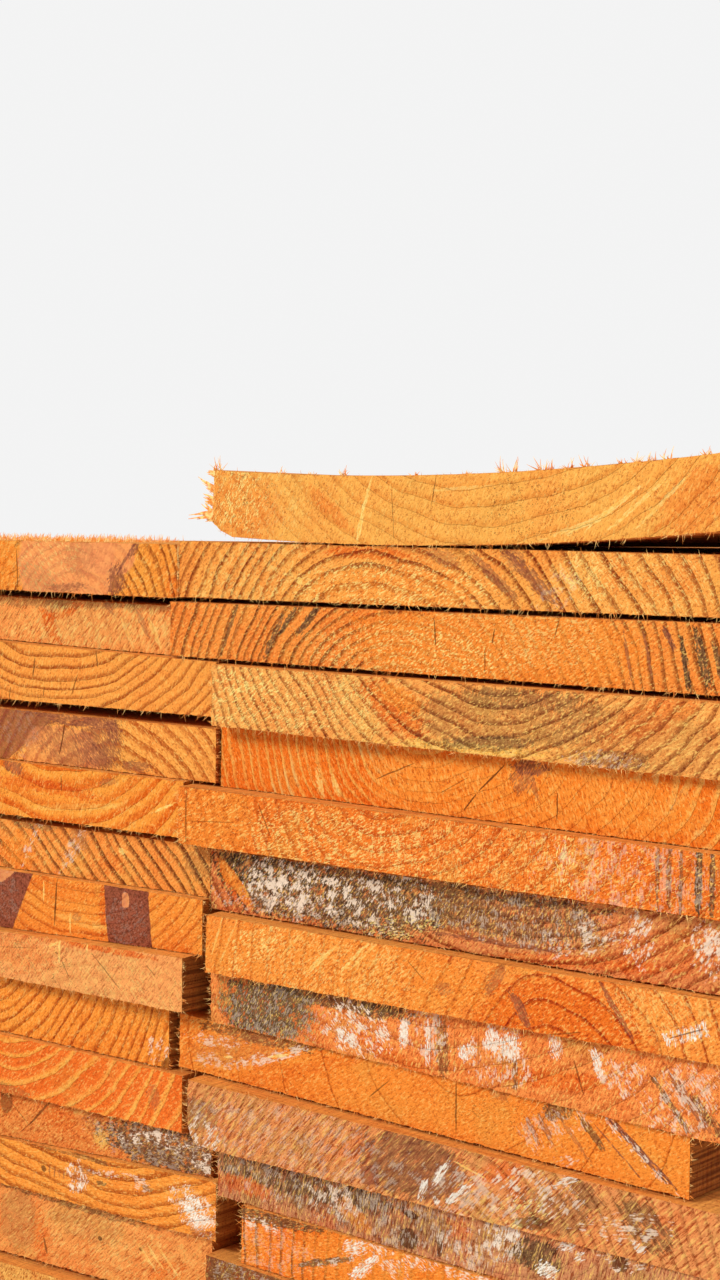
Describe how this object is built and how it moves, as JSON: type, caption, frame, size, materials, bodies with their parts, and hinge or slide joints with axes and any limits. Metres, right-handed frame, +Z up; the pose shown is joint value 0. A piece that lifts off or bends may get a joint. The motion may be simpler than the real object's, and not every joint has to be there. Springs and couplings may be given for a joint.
{
  "type": "lumber stack",
  "caption": "Stack of rough-sawn boards laid flat in two columns with uneven ends, and one loose cupped board on top.",
  "frame": {"origin": "middle of the footprint, on the level the bottom boards rest on", "axes": "+Y along the boards, away from the ends that the picture shows; +X across them, from the left column to the right one; +Z up"},
  "size_m": [0.5712, 2.46, 0.4368],
  "materials": {
    "fresh_pine": "rough-sawn, warm orange, raised grain",
    "pale_pine": "rough-sawn, pale golden",
    "weathered_pine": "rough-sawn, grey-brown with mould and white specks"
  },
  "bodies": {
    "root": {"top_board": "pale_pine", "left_board_01": "fresh_pine", "left_board_02": "fresh_pine", "left_board_03": "fresh_pine", "left_board_04": "fresh_pine", "left_board_05": "fresh_pine", "left_board_06": "fresh_pine", "left_board_07": "fresh_pine", "left_board_08": "pale_pine", "left_board_09": "fresh_pine", "left_board_10": "fresh_pine", "left_board_11": "weathered_pine", "left_board_12": "fresh_pine", "left_board_13": "fresh_pine", "left_board_14": "pale_pine", "left_board_15": "fresh_pine", "right_board_01": "fresh_pine", "right_board_02": "fresh_pine", "right_board_03": "fresh_pine", "right_board_04": "fresh_pine", "right_board_05": "fresh_pine", "right_board_06": "weathered_pine", "right_board_07": "fresh_pine", "right_board_08": "weathered_pine", "right_board_09": "fresh_pine", "right_board_10": "weathered_pine", "right_board_11": "weathered_pine", "right_board_12": "fresh_pine", "right_board_13": "fresh_pine", "right_board_14": "fresh_pine", "right_board_15": "fresh_pine"}
  },
  "joints": []
}
